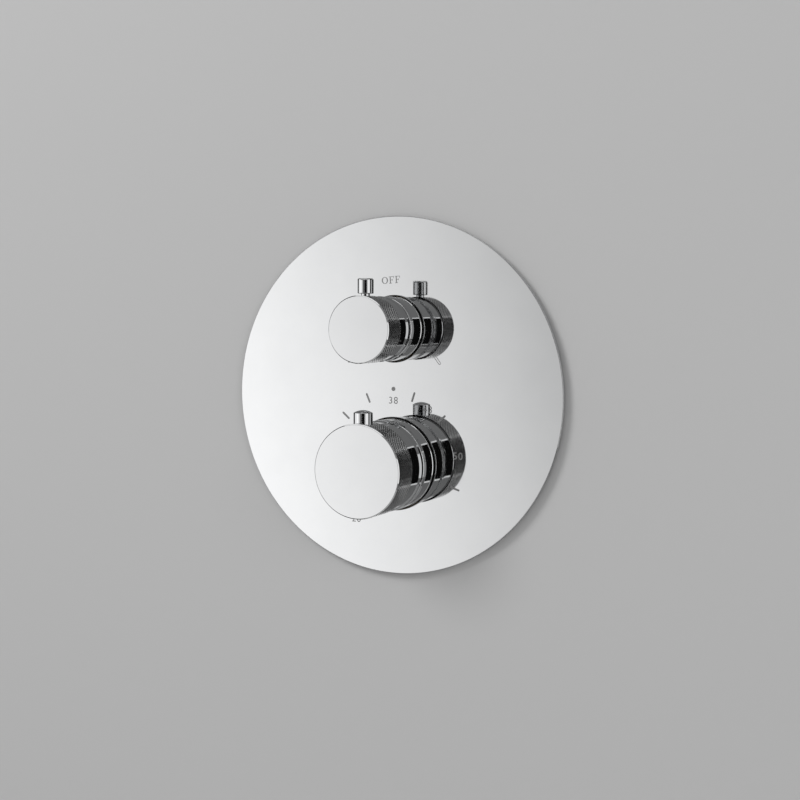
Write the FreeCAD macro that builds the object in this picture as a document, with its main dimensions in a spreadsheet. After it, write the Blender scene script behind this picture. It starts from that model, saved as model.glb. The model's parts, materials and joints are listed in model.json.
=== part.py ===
import FreeCAD, Part
import os
import re

import Sketcher
from FreeCAD import Placement, Rotation, Vector

# Concealed thermostatic shower valve with a round wall plate and two knobs, in millimetres.
# The origin is the centre of the plate on the finished wall, +Z is up and the user stands at -Y.
# "out" is a distance from the finished wall towards the user; what lies in the wall has a negative out.
# "rise" is a height above the origin. Both knob axes run straight out of the wall at x = 0.

SIZES = {
    # wall plate and its foam gasket
    "plate_radius": 100.0,
    "plate_thick": 3.0,
    "plate_edge_round": 0.8,
    "gasket_thick": 1.5,
    "gasket_inset": 5.0,
    "gasket_width": 10.0,
    # knob axes
    "diverter_height": 37.5,
    "temperature_drop": 38.0,
    # clearances and seals
    "running_gap": 0.1,
    "close_gap": 0.03,
    "handle_gap": 0.6,
    "overcut": 1.0,
    "plate_seal_section": 0.7,
    "seal_section": 1.8,
    "seal_gap": 0.02,
    "groove_extra": 0.6,
    # fixed chrome sleeves between the plate and the knobs
    "diverter_sleeve_radius": 17.9,
    "diverter_sleeve_reach": 14.0,
    "temperature_sleeve_radius": 25.4,
    "temperature_sleeve_reach": 13.0,
    "sleeve_wall": 1.8,
    "sleeve_tail": 9.0,
    "sleeve_taper": 3.0,
    "sleeve_taper_drop": 0.6,
    # knob outsides: knurled head, recessed barrel, collar and neck, from front to back
    "diverter_head_radius": 18.1,
    "diverter_reach": 42.7,
    "diverter_head_length": 14.7,
    "diverter_barrel_length": 7.0,
    "diverter_neck_radius": 16.6,
    "temperature_head_radius": 25.5,
    "temperature_reach": 44.5,
    "temperature_head_length": 16.5,
    "temperature_barrel_length": 9.5,
    "temperature_neck_radius": 23.3,
    "barrel_step": 0.7,
    "collar_drop": 0.2,
    "collar_length": 1.2,
    "collar_slope": 2.8,
    "head_chamfer": 0.5,
    # knob insides: cavity, central hub and the blind socket in it
    "face_wall": 4.3,
    "diverter_cavity_radius": 12.5,
    "diverter_hub_radius": 8.2,
    "diverter_socket_radius": 5.6,
    "temperature_cavity_radius": 13.0,
    "temperature_hub_radius": 8.5,
    "temperature_socket_radius": 6.0,
    "temperature_skirt_wall": 3.6,
    "hub_length": 12.0,
    "socket_length": 10.0,
    # lever pin of the upper knob
    "pin_radius": 4.35,
    "pin_top": 27.2,
    "pin_foot": 19.1,
    "pin_back": 8.5,
    "pin_round": 1.2,
    "pin_stud_radius": 2.4,
    "pin_stud_length": 6.2,
    # override button of the lower knob
    "button_radius": 5.25,
    "button_top": 32.5,
    "button_foot": 20.0,
    "button_back": 7.8,
    "button_round": 1.6,
    "button_travel": 2.5,
    "button_seat": 15.0,
    "button_stem_radius": 1.5,
    "button_stem_tip": 11.4,
    "clip_thick": 0.8,
    "clip_radius": 3.0,
    "button_coil_radius": 3.2,
    "button_wire": 0.6,
    # grub screws and the adapters they bite on
    "grub_radius": 2.0,
    "grub_length": 5.0,
    "grub_back": 5.5,
    "adapter_shoulder": 4.0,
    "adapter_front_recess": 3.8,
    "adapter_recess_radius": 3.9,
    "screw_head_radius": 3.5,
    "screw_head_thick": 2.4,
    "screw_radius": 1.9,
    "screw_length": 12.0,
    # cartridges: nuts, shells, spindles
    "nut_reach": 2.0,
    "nut_bore_gap": 0.2,
    "flange_thick": 3.0,
    "seat_depth": 22.0,
    "diverter_shell_radius": 14.0,
    "diverter_shell_depth": 60.0,
    "diverter_shell_neck": 9.0,
    "diverter_spindle_radius": 5.0,
    "diverter_spline_radius": 4.2,
    "temperature_shell_radius": 19.0,
    "temperature_shell_neck": 13.0,
    "temperature_spindle_radius": 7.0,
    "temperature_spline_radius": 4.6,
    "shell_neck_reach": 10.0,
    "spline_depth": 9.0,
    "shell_wall": 3.0,
    # diverter inside
    "disc_radius": 11.6,
    "disc_thick": 4.0,
    "base_seal_thick": 3.0,
    "spindle_foot_thick": 4.5,
    "disc_port_radius": 3.2,
    "disc_port_offset": 6.0,
    # thermostat inside, as depths behind the finished wall
    "chamber_front_depth": 23.0,
    "spindle_flange_thick": 4.0,
    "spindle_flange_radius": 11.0,
    "spindle_tail_depth": 34.0,
    "drive_thread_radius": 4.4,
    "drive_thread_length": 15.0,
    "drive_thread_run": 3.0,
    "plunger_depth": 37.0,
    "plunger_thick": 3.0,
    "plunger_radius": 12.0,
    "element_depth": 52.0,
    "element_flange_thick": 2.0,
    "element_flange_radius": 10.5,
    "element_radius": 5.6,
    "element_length": 22.0,
    "piston_radius": 1.5,
    "piston_length": 10.0,
    "shuttle_depth": 57.0,
    "shuttle_length": 8.0,
    "seat_thick": 2.5,
    "seat_hole_radius": 8.0,
    "overload_coil_radius": 7.6,
    "overload_wire": 1.6,
    "return_coil_radius": 11.5,
    "return_wire": 1.3,
    "stop_ring_radius": 18.0,
    "stop_ring_thick": 4.0,
    "window_radius": 5.0,
    # cast brass body
    "boss_depth": 10.0,
    "boss_wall": 5.0,
    "body_depth": 90.0,
    "body_back_wall": 8.0,
    "arm_depth": 45.0,
    "arm_radius": 15.0,
    "arm_reach": 62.0,
    "thread_radius": 9.32,
    "thread_length": 15.0,
    "port_radius": 6.0,
    "outlet_port_radius": 7.0,
    "column_radius": 14.0,
    "column_cover": 6.0,
    # check valves and inlet filters, as distances from the middle of the body along the inlet
    "check_radius": 8.5,
    "check_length": 11.5,
    "check_wall": 2.3,
    "check_lip": 1.4,
    "check_lip_radius": 4.2,
    "check_guide_radius": 2.4,
    "poppet_radius": 5.4,
    "poppet_thick": 2.0,
    "poppet_stem_radius": 1.5,
    "poppet_travel": 3.0,
    "check_coil_radius": 4.3,
    "check_wire": 0.8,
    "filter_length": 5.4,
    "filter_wall": 0.6,
    "filter_nose_radius": 6.0,
    # mounting bracket behind the body and its screws
    "bracket_width": 130.0,
    "bracket_height": 150.0,
    "bracket_thick": 2.5,
    "bracket_corner": 8.0,
    "fixing_spacing_x": 110.0,
    "fixing_spacing_z": 120.0,
    "fixing_hole_radius": 3.2,
    "bracket_screw_radius": 2.45,
    "bracket_screw_length": 10.0,
    "bracket_screw_head_radius": 4.5,
    "bracket_screw_head_thick": 3.0,
    "upper_screw_x": 10.0,
    "upper_screw_rise": 45.0,
    "lower_screw_x": 18.0,
    "lower_screw_drop": 52.5,
}

# Places worked out from the sizes. Each knob has the same set under its own name.
PLACES = {
    "diverter_rise": "diverter_height",
    "temperature_rise": "-temperature_drop",
    "plate_front": "gasket_thick + plate_thick",
    "nut_back": "flange_thick - seat_depth",
    "shell_neck_front": "shell_neck_reach",
    "cavity_step": "temperature_head_back",
    "temperature_shell_depth": "body_depth - body_back_wall",
    "column_depth": "body_depth - column_cover - column_radius",
    "filter_end": "arm_reach - thread_length",
    "filter_start": "filter_end - filter_length",
    "check_end": "filter_start - running_gap",
    "check_start": "check_end - check_length",
    "drive_bore_front": "drive_thread_length + drive_thread_run - plunger_depth",
    "disc_back": "base_seal_thick - diverter_shell_depth",
    "moving_disc_back": "disc_back + disc_thick",
    "foot_back": "moving_disc_back + disc_thick",
    "foot_front": "foot_back + spindle_foot_thick",
    "chamber_radius": "temperature_shell_radius - shell_wall",
    "bracket_back": "-body_depth - bracket_thick",
}
KNOBS = ("diverter", "temperature")
for knob in KNOBS:
    PLACES.update({
        f"{knob}_plate_hole": f"{knob}_sleeve_radius + plate_seal_section",
        f"{knob}_nut_radius": f"{knob}_sleeve_radius - sleeve_wall - running_gap",
        f"{knob}_boss_bore": f"{knob}_nut_radius + running_gap",
        f"{knob}_shell_bore": f"{knob}_shell_radius + running_gap",
        f"{knob}_sleeve_front": f"plate_front + {knob}_sleeve_reach",
        f"{knob}_back": f"{knob}_sleeve_front + handle_gap",
        f"{knob}_face": f"plate_front + {knob}_reach",
        f"{knob}_head_back": f"{knob}_face - {knob}_head_length",
        f"{knob}_barrel_back": f"{knob}_head_back - {knob}_barrel_length",
        f"{knob}_collar_front": f"{knob}_barrel_back - collar_slope",
        f"{knob}_collar_back": f"{knob}_collar_front - collar_length",
        f"{knob}_cavity_front": f"{knob}_face - face_wall",
        f"{knob}_hub_back": f"{knob}_cavity_front - hub_length",
        f"{knob}_socket_front": f"{knob}_hub_back + socket_length",
        f"{knob}_adapter_front": f"{knob}_socket_front - running_gap",
        f"{knob}_adapter_floor": f"{knob}_adapter_front - adapter_front_recess",
        f"{knob}_adapter_back": f"{knob}_hub_back - adapter_shoulder",
        f"{knob}_spline_front": f"{knob}_adapter_floor - running_gap",
        f"{knob}_spindle_bore": f"{knob}_spindle_radius + running_gap",
        f"{knob}_grub_out": f"{knob}_cavity_front - grub_back",
    })

NAME = re.compile(r"[a-z][a-z0-9_]*")


def bound(text):
    """Turn plain names in an expression into references to the sheet's cells."""

    def cell(found):
        name = found.group(0)
        if name in SIZES:
            return "Dims." + name
        return "(" + bound(PLACES[name]) + ")"

    return NAME.sub(cell, text)


doc = FreeCAD.newDocument("ShowerValve")
sheet = doc.addObject("Spreadsheet::Sheet", "Dims")
for row, (name, size) in enumerate(SIZES.items(), start=1):
    sheet.set(f"A{row}", name.replace("_", " "))
    sheet.set(f"B{row}", str(size))
    sheet.setAlias(f"B{row}", name)
doc.recompute()

nodes = {}


def new_body(label, out="0", rise="0"):
    body = doc.addObject("PartDesign::Body", label)
    body.Label = label
    body.setExpression("Placement.Base.y", bound(f"-({out})"))
    body.setExpression("Placement.Base.z", bound(rise))
    nodes[label] = body
    return body


def new_sketch(body, name, role):
    sketch = body.newObject("Sketcher::SketchObject", f"{body.Name}_{name}")
    plane = [part for part in body.Origin.OriginFeatures if part.Role == role][0]
    sketch.AttachmentSupport = [(plane, "")]
    sketch.MapMode = "FlatFace"
    return sketch


def add_outline(sketch, corners):
    """Closed line outline whose corners (across, along) are each tied to the sheet."""
    count = len(corners)
    drawn = [Vector(10 * (i + 1), 7 * (i % 3) + i, 0) for i in range(count)]
    lines = [Part.LineSegment(drawn[i], drawn[(i + 1) % count]) for i in range(count)]
    first = len(sketch.Geometry)
    sketch.addGeometry(lines, False)
    for i, (across, along) in enumerate(corners):
        line = first + i
        following = first + (i + 1) % count
        sketch.addConstraint(Sketcher.Constraint("Coincident", line, 2, following, 1))
        for kind, start, text in (("DistanceX", drawn[i].x, across), ("DistanceY", drawn[i].y, along)):
            index = sketch.addConstraint(Sketcher.Constraint(kind, -1, 1, line, 1, start))
            sketch.setExpression(f"Constraints[{index}]", bound(text))


def add_circle(sketch, across, along, radius):
    """Circle whose centre and radius are each tied to the sheet."""
    line = sketch.addGeometry(Part.Circle(Vector(5, 5, 0), Vector(0, 0, 1), 3), False)
    for kind, text in (("DistanceX", across), ("DistanceY", along)):
        index = sketch.addConstraint(Sketcher.Constraint(kind, -1, 1, line, 3, 5))
        sketch.setExpression(f"Constraints[{index}]", bound(text))
    index = sketch.addConstraint(Sketcher.Constraint("Radius", line, 3))
    sketch.setExpression(f"Constraints[{index}]", bound(radius))


def turned(label, outline, axis="out", side=1, out="0", rise="0"):
    """Turned piece: corners are (radius, place along the axis), the axis out, side or up."""
    body = new_body(label, out, rise)
    sketch = new_sketch(body, "profile", "XZ_Plane" if axis == "up" else "XY_Plane")
    if axis == "out":
        corners = [(radius, f"-({along})") for radius, along in outline]
    elif axis == "up":
        corners = list(outline)
    else:
        corners = [(f"{side} * ({along})", radius) for radius, along in outline]
    add_outline(sketch, corners)
    revolution = body.newObject("PartDesign::Revolution", f"{label}_turned")
    revolution.Profile = sketch
    revolution.ReferenceAxis = (sketch, ["H_Axis" if axis == "side" else "V_Axis"])
    revolution.Angle = 360
    return body


def ring(label, inner, outer, back, front, **where):
    """Plain turned ring or disc between two places along its axis."""
    return turned(label, [(inner, back), (outer, back), (outer, front), (inner, front)], **where)


def cut_bore(body, name, role, centres, radius, start, length, towards_normal):
    """Round bores cut from a plane at a distance from the body's own origin plane."""
    doc.recompute()
    before = body.Shape.Volume
    sketch = new_sketch(body, name, role)
    sketch.setExpression("AttachmentOffset.Base.z", bound(start))
    for across, along in centres:
        add_circle(sketch, across, along, radius)
    pocket = body.newObject("PartDesign::Pocket", f"{body.Name}_{name}_bore")
    pocket.Profile = sketch
    pocket.setExpression("Length", bound(length))
    pocket.Reversed = towards_normal
    doc.recompute()
    if body.Shape.Volume >= before:
        raise RuntimeError(f"{name} cut nothing from {body.Label}")


def round_rim(body, kind, pick, size):
    """Fillet or chamfer on the round edges that pick chooses."""
    doc.recompute()
    edges = [f"Edge{i}" for i, edge in enumerate(body.Shape.Edges, start=1) if pick(edge)]
    if not edges:
        raise RuntimeError(f"no edge to finish on {body.Label}")
    tip = body.Tip
    finish = body.newObject(f"PartDesign::{kind}", f"{body.Name}_{kind}")
    finish.Base = (tip, edges)
    finish.setExpression("Radius" if kind == "Fillet" else "Size", bound(size))


AXIS_TURN = {
    "out": (Rotation(Vector(1, 0, 0), 90), Rotation()),
    "up": (Rotation(), Rotation(Vector(1, 0, 0), 90)),
    "side": (Rotation(Vector(0, 1, 0), 90), Rotation(Vector(1, 0, 0), 90)),
}


def spring(label, coil_radius, wire, back, front, turns, axis="out", side=1, out="0", rise="0"):
    """Round wire coiled between two places along its axis, clear of both seats."""
    facing = Rotation(Vector(0, 0, 1), 0 if side > 0 else 180)
    coil_turn, wire_turn = (facing * turn for turn in AXIS_TURN[axis])
    start = f"{back} + {wire} * 0.5 + close_gap"
    length = f"({front}) - ({back}) - {wire} - 2 * close_gap"
    coil = doc.addObject("Part::Helix", f"{label}_coil")
    coil.Placement.Rotation = coil_turn
    coil.setExpression("Radius", bound(coil_radius))
    coil.setExpression("Height", bound(length))
    coil.setExpression("Pitch", bound(f"({length}) / {turns}"))
    section = doc.addObject("Part::Circle", f"{label}_wire")
    section.Placement.Rotation = wire_turn
    section.setExpression("Radius", bound(f"{wire} * 0.5"))
    place = {
        "out": ("0", f"-({start}) - ({out})", rise),
        "up": ("0", f"-({out})", f"({rise}) + {start}"),
        "side": (f"{side} * ({start})", f"-({out})", rise),
    }[axis]
    offset = ("0", "0", f"-({coil_radius})") if axis == "side" else (coil_radius, "0", "0")
    for letter, text, shift in zip("xyz", place, offset):
        coil.setExpression(f"Placement.Base.{letter}", bound(text))
        section.setExpression(f"Placement.Base.{letter}", bound(f"{text} + {shift}"))
    wound = doc.addObject("Part::Sweep", label)
    wound.Label = label
    wound.Sections = [section]
    wound.Spine = (coil, ["Edge1"])
    wound.Solid = True
    wound.Frenet = True
    nodes[label] = wound


def o_ring(label, middle_radius, section, out, rise):
    torus = doc.addObject("Part::Torus", label)
    torus.Label = label
    torus.Placement.Rotation = Rotation(Vector(1, 0, 0), 90)
    torus.setExpression("Radius1", bound(middle_radius))
    torus.setExpression("Radius2", bound(f"({section}) * 0.5"))
    torus.setExpression("Placement.Base.y", bound(f"-({out})"))
    torus.setExpression("Placement.Base.z", bound(rise))
    nodes[label] = torus


def cylinder(name, radius, back, length, axis="out", out="0", rise="0", across="0"):
    """Cylinder that starts at back and runs for length along its axis."""
    tool = doc.addObject("Part::Cylinder", name)
    tool.Placement.Rotation = AXIS_TURN[axis][0]
    tool.setExpression("Radius", bound(radius))
    tool.setExpression("Height", bound(length))
    along = {"out": (across, f"-({back})", rise), "side": (back, f"-({out})", rise)}
    place = along.get(axis, (across, f"-({out})", back))
    for letter, text in zip("xyz", place):
        tool.setExpression(f"Placement.Base.{letter}", bound(text))
    return tool


def is_circle(edge, radius):
    return hasattr(edge.Curve, "Radius") and abs(edge.Curve.Radius - radius) < 1e-6


# ---- wall plate and gasket ----

plate = new_body("face_plate", out="gasket_thick")
plate_sketch = new_sketch(plate, "outline", "XZ_Plane")
add_circle(plate_sketch, "0", "0", "plate_radius")
for knob in KNOBS:
    add_circle(plate_sketch, "0", f"{knob}_rise", f"{knob}_plate_hole")
plate_pad = plate.newObject("PartDesign::Pad", "face_plate_pad")
plate_pad.Profile = plate_sketch
plate_pad.setExpression("Length", bound("plate_thick"))
round_rim(
    plate,
    "Fillet",
    lambda edge: is_circle(edge, sheet.plate_radius) and edge.CenterOfMass.y < -sheet.gasket_thick - 0.1,
    "plate_edge_round",
)
ring("plate_gasket", "plate_radius - gasket_inset - gasket_width", "plate_radius - gasket_inset",
     "0", "gasket_thick")


# ---- pieces that both knobs have ----

def knob_outline(knob, inside):
    """Outer steps of a knob from its neck to its face, closed by the corners of its inside."""
    outside = [
        (f"{knob}_neck_radius", f"{knob}_back"),
        (f"{knob}_neck_radius", f"{knob}_collar_back"),
        (f"{knob}_head_radius - collar_drop", f"{knob}_collar_back"),
        (f"{knob}_head_radius - collar_drop", f"{knob}_collar_front"),
        (f"{knob}_head_radius - barrel_step", f"{knob}_barrel_back"),
        (f"{knob}_head_radius - barrel_step", f"{knob}_head_back"),
        (f"{knob}_head_radius", f"{knob}_head_back"),
        (f"{knob}_head_radius", f"{knob}_face - head_chamfer"),
        (f"{knob}_head_radius - head_chamfer", f"{knob}_face"),
        ("0", f"{knob}_face"),
    ]
    hub = [
        ("0", f"{knob}_socket_front"),
        (f"{knob}_socket_radius", f"{knob}_socket_front"),
        (f"{knob}_socket_radius", f"{knob}_hub_back"),
        (f"{knob}_hub_radius", f"{knob}_hub_back"),
        (f"{knob}_hub_radius", f"{knob}_cavity_front"),
        (f"{knob}_cavity_radius", f"{knob}_cavity_front"),
    ]
    return outside + hub + inside


def shared_pieces(knob):
    """Sleeve, plate seal, nut, adapter, adapter screw and grub screw of one knob."""
    rise = f"{knob}_rise"
    turned(f"{knob}_sleeve", [
        (f"{knob}_sleeve_radius - sleeve_wall", "-sleeve_tail"),
        (f"{knob}_sleeve_radius", "-sleeve_tail"),
        (f"{knob}_sleeve_radius", f"{knob}_sleeve_front - sleeve_taper"),
        (f"{knob}_sleeve_radius - sleeve_taper_drop", f"{knob}_sleeve_front"),
        (f"{knob}_sleeve_radius - sleeve_wall", f"{knob}_sleeve_front"),
    ], rise=rise)
    o_ring(f"{knob}_plate_seal", f"{knob}_sleeve_radius + plate_seal_section * 0.5",
           "plate_seal_section - 2 * seal_gap", "gasket_thick + plate_thick * 0.5", rise)
    ring(f"{knob}_nut", f"{knob}_shell_neck + nut_bore_gap", f"{knob}_nut_radius",
         "nut_back", "nut_reach", rise=rise)
    turned(f"{knob}_adapter", [
        (f"{knob}_spline_radius + close_gap", f"{knob}_adapter_back"),
        (f"{knob}_hub_radius", f"{knob}_adapter_back"),
        (f"{knob}_hub_radius", f"{knob}_hub_back"),
        (f"{knob}_socket_radius - close_gap", f"{knob}_hub_back"),
        (f"{knob}_socket_radius - close_gap", f"{knob}_adapter_front"),
        ("adapter_recess_radius", f"{knob}_adapter_front"),
        ("adapter_recess_radius", f"{knob}_adapter_floor"),
        ("screw_radius + running_gap", f"{knob}_adapter_floor"),
        ("screw_radius + running_gap", f"{knob}_spline_front"),
        (f"{knob}_spline_radius + close_gap", f"{knob}_spline_front"),
    ], rise=rise)
    turned(f"{knob}_adapter_screw", [
        ("0", f"{knob}_adapter_floor - screw_length"),
        ("screw_radius", f"{knob}_adapter_floor - screw_length"),
        ("screw_radius", f"{knob}_adapter_floor"),
        ("screw_head_radius", f"{knob}_adapter_floor"),
        ("screw_head_radius", f"{knob}_adapter_floor + screw_head_thick"),
        ("0", f"{knob}_adapter_floor + screw_head_thick"),
    ], rise=rise)
    ring(f"{knob}_grub_screw", "0", "grub_radius", f"-{knob}_socket_radius - grub_length",
         f"-{knob}_socket_radius", axis="up", out=f"{knob}_grub_out", rise=rise)


def spindle_groove(knob, middle):
    """Corners of the seal groove of a spindle, centred at middle."""
    floor = f"{knob}_spindle_bore - seal_section - 2 * seal_gap"
    half = "(seal_section + groove_extra) * 0.5"
    return [
        (f"{knob}_spindle_radius", f"{middle} - {half}"),
        (floor, f"{middle} - {half}"),
        (floor, f"{middle} + {half}"),
        (f"{knob}_spindle_radius", f"{middle} + {half}"),
    ]


def spindle_front(knob):
    """Corners of the splined end of a spindle and the screw hole in it."""
    hole_floor = f"{knob}_adapter_floor - screw_length - running_gap"
    return [
        (f"{knob}_spindle_radius", f"{knob}_adapter_back - running_gap"),
        (f"{knob}_spline_radius", f"{knob}_adapter_back - running_gap"),
        (f"{knob}_spline_radius", f"{knob}_spline_front - running_gap"),
        ("screw_radius + close_gap", f"{knob}_spline_front - running_gap"),
        ("screw_radius + close_gap", hole_floor),
        ("0", hole_floor),
    ]


def shell_outline(knob, inside):
    """Outer steps of a cartridge shell: body, flange, neck and a seal groove, then its inside."""
    groove = f"{knob}_shell_bore - seal_section - 2 * seal_gap"
    middle = "-seat_depth - 2 * seal_section"
    half = "(seal_section + groove_extra) * 0.5"
    outside = [
        (f"{knob}_shell_radius", f"-{knob}_shell_depth"),
        (f"{knob}_shell_radius", f"{middle} - {half}"),
        (groove, f"{middle} - {half}"),
        (groove, f"{middle} + {half}"),
        (f"{knob}_shell_radius", f"{middle} + {half}"),
        (f"{knob}_shell_radius", "-seat_depth"),
        (f"{knob}_nut_radius", "-seat_depth"),
        (f"{knob}_nut_radius", "nut_back"),
        (f"{knob}_shell_neck", "nut_back"),
        (f"{knob}_shell_neck", "shell_neck_front"),
        (f"{knob}_spindle_bore", "shell_neck_front"),
    ]
    return outside + inside


def fitted_seal(label, knob, bore, out):
    o_ring(label, f"{bore} - seal_gap - seal_section * 0.5", "seal_section", out, f"{knob}_rise")


for knob in KNOBS:
    shared_pieces(knob)
    fitted_seal(f"{knob}_shell_seal", knob, f"{knob}_shell_bore", "-seat_depth - 2 * seal_section")
    fitted_seal(f"{knob}_spindle_seal", knob, f"{knob}_spindle_bore", "0")


def bore_for_grub(body, knob):
    """Radial hole under a knob, from its skin through the hub to the adapter."""
    cut_bore(body, "grub", "XY_Plane", [("0", f"-{knob}_grub_out")], "grub_radius + close_gap",
             f"-{knob}_socket_radius", f"{knob}_head_radius - {knob}_socket_radius + overcut", False)


# ---- upper knob: shut-off and diverter ----

diverter_handle = turned("diverter_handle", knob_outline("diverter", [
    ("diverter_cavity_radius", "diverter_back"),
]), rise="diverter_rise")
bore_for_grub(diverter_handle, "diverter")
cut_bore(diverter_handle, "pin", "XY_Plane", [("0", "-(diverter_face - pin_back)")],
         "pin_stud_radius + close_gap", "diverter_cavity_radius - overcut",
         "diverter_head_radius - diverter_cavity_radius + 2 * overcut", True)

lever_pin = turned("diverter_lever_pin", [
    ("0", "pin_foot - pin_stud_length"),
    ("pin_stud_radius", "pin_foot - pin_stud_length"),
    ("pin_stud_radius", "pin_foot"),
    ("pin_radius", "pin_foot"),
    ("pin_radius", "pin_top"),
    ("0", "pin_top"),
], axis="up", out="diverter_face - pin_back", rise="diverter_rise")
round_rim(
    lever_pin,
    "Fillet",
    lambda edge: is_circle(edge, sheet.pin_radius)
    and edge.CenterOfMass.z > sheet.diverter_height + sheet.pin_top - 0.1,
    "pin_round",
)

turned("diverter_spindle", [
    ("0", "foot_back"),
    ("disc_radius", "foot_back"),
    ("disc_radius", "foot_front"),
    ("diverter_spindle_radius", "foot_front"),
] + spindle_groove("diverter", "0") + spindle_front("diverter"), rise="diverter_rise")

turned("diverter_shell", shell_outline("diverter", [
    ("diverter_spindle_bore", "foot_front + running_gap"),
    ("disc_radius + running_gap", "foot_front + running_gap"),
    ("disc_radius + running_gap", "-diverter_shell_depth"),
]), rise="diverter_rise")

outlet_ports = [("disc_port_offset", "0"), ("-disc_port_offset", "0")]
inlet_ports = [("0", "-disc_port_offset")]
for label, back, front, ports in (
    ("diverter_base_seal", "-diverter_shell_depth", "disc_back", outlet_ports + inlet_ports),
    ("diverter_fixed_disc", "disc_back", "moving_disc_back", outlet_ports + inlet_ports),
    ("diverter_moving_disc", "moving_disc_back", "foot_back", inlet_ports),
):
    disc = ring(label, "0", "disc_radius", back, front, rise="diverter_rise")
    cut_bore(disc, "ports", "XZ_Plane", ports, "disc_port_radius", f"{front} + overcut",
             f"{front} - ({back}) + 2 * overcut", False)


# ---- lower knob: temperature, with its override button ----

temperature_handle = turned("temperature_handle", knob_outline("temperature", [
    ("temperature_cavity_radius", "cavity_step"),
    ("temperature_head_radius - barrel_step - temperature_skirt_wall", "cavity_step"),
    ("temperature_head_radius - barrel_step - temperature_skirt_wall", "temperature_back"),
]), rise="temperature_rise")
bore_for_grub(temperature_handle, "temperature")
button_out = "temperature_face - button_back"
cut_bore(temperature_handle, "button", "XY_Plane", [("0", f"-({button_out})")],
         "button_radius + running_gap", "button_seat", "temperature_head_radius - button_seat + overcut", True)
cut_bore(temperature_handle, "stem", "XY_Plane", [("0", f"-({button_out})")],
         "button_stem_radius + running_gap", "temperature_cavity_radius - overcut",
         "button_seat - temperature_cavity_radius + 2 * overcut", True)

button = turned("override_button", [
    ("0", "button_stem_tip"),
    ("button_stem_radius", "button_stem_tip"),
    ("button_stem_radius", "button_foot"),
    ("button_radius", "button_foot"),
    ("button_radius", "button_top"),
    ("0", "button_top"),
], axis="up", out=button_out, rise="temperature_rise")
round_rim(
    button,
    "Fillet",
    lambda edge: is_circle(edge, sheet.button_radius)
    and edge.CenterOfMass.z > sheet.button_top - sheet.temperature_drop - 0.1,
    "button_round",
)
ring("button_clip", "button_stem_radius + close_gap", "clip_radius",
     "button_stem_tip + running_gap", "button_stem_tip + running_gap + clip_thick",
     axis="up", out=button_out, rise="temperature_rise")
spring("button_spring", "button_coil_radius", "button_wire", "button_seat", "button_foot", 3,
       axis="up", out=button_out, rise="temperature_rise")

turned("temperature_spindle", [
    ("drive_thread_radius + close_gap", "-spindle_tail_depth"),
    ("temperature_spindle_radius", "-spindle_tail_depth"),
    ("temperature_spindle_radius", "-chamber_front_depth - spindle_flange_thick"),
    ("spindle_flange_radius", "-chamber_front_depth - spindle_flange_thick"),
    ("spindle_flange_radius", "-chamber_front_depth - running_gap"),
    ("temperature_spindle_radius", "-chamber_front_depth - running_gap"),
] + spindle_groove("temperature", "0") + spindle_front("temperature") + [
    ("0", "drive_bore_front"),
    ("drive_thread_radius + close_gap", "drive_bore_front"),
], rise="temperature_rise")

temperature_shell = turned("temperature_shell", shell_outline("temperature", [
    ("temperature_spindle_bore", "-chamber_front_depth"),
    ("chamber_radius", "-chamber_front_depth"),
    ("chamber_radius", "-temperature_shell_depth"),
]), rise="temperature_rise")
cut_bore(temperature_shell, "windows", "YZ_Plane", [("arm_depth", "0")], "window_radius",
         "-temperature_shell_radius - overcut", "2 * temperature_shell_radius + 2 * overcut", True)

ring("temperature_stop_ring", "temperature_shell_neck + close_gap", "stop_ring_radius",
     "nut_reach", "nut_reach + stop_ring_thick", rise="temperature_rise")

turned("drive_plunger", [
    ("0", "-plunger_depth - plunger_thick"),
    ("plunger_radius", "-plunger_depth - plunger_thick"),
    ("plunger_radius", "-plunger_depth"),
    ("drive_thread_radius", "-plunger_depth"),
    ("drive_thread_radius", "drive_thread_length - plunger_depth"),
    ("0", "drive_thread_length - plunger_depth"),
], rise="temperature_rise")
spring("overload_spring", "overload_coil_radius", "overload_wire", "-element_depth",
       "-plunger_depth - plunger_thick", 3, rise="temperature_rise")
turned("wax_element", [
    ("0", "-element_depth - element_length"),
    ("element_radius", "-element_depth - element_length"),
    ("element_radius", "-element_depth - element_flange_thick"),
    ("element_flange_radius", "-element_depth - element_flange_thick"),
    ("element_flange_radius", "-element_depth"),
    ("piston_radius", "-element_depth"),
    ("piston_radius", "piston_length - element_depth"),
    ("0", "piston_length - element_depth"),
], rise="temperature_rise")
ring("mixing_shuttle", "element_radius + close_gap", "chamber_radius - running_gap",
     "-shuttle_depth - shuttle_length", "-shuttle_depth", rise="temperature_rise")
ring("thermostat_seat", "seat_hole_radius", "chamber_radius - close_gap",
     "-temperature_shell_depth", "seat_thick - temperature_shell_depth", rise="temperature_rise")
spring("return_spring", "return_coil_radius", "return_wire", "seat_thick - temperature_shell_depth",
       "-shuttle_depth - shuttle_length", 4, rise="temperature_rise")


# ---- cast brass body ----

def body_solids():
    """Outer bulk: a boss round each cartridge, two cross arms and a column that joins them."""
    bulk = [
        cylinder(f"{knob}_boss", f"{knob}_boss_bore + boss_wall", "-body_depth",
                 "body_depth - boss_depth", rise=f"{knob}_rise")
        for knob in KNOBS
    ]
    bulk += [
        cylinder(f"{knob}_arm", "arm_radius", "-arm_reach", "2 * arm_reach", axis="side",
                 out="-arm_depth", rise=f"{knob}_rise")
        for knob in KNOBS
    ]
    bulk.append(cylinder("column", "column_radius", "temperature_rise",
                         "diverter_rise - (temperature_rise)", axis="up", out="-column_depth"))
    return bulk


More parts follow.
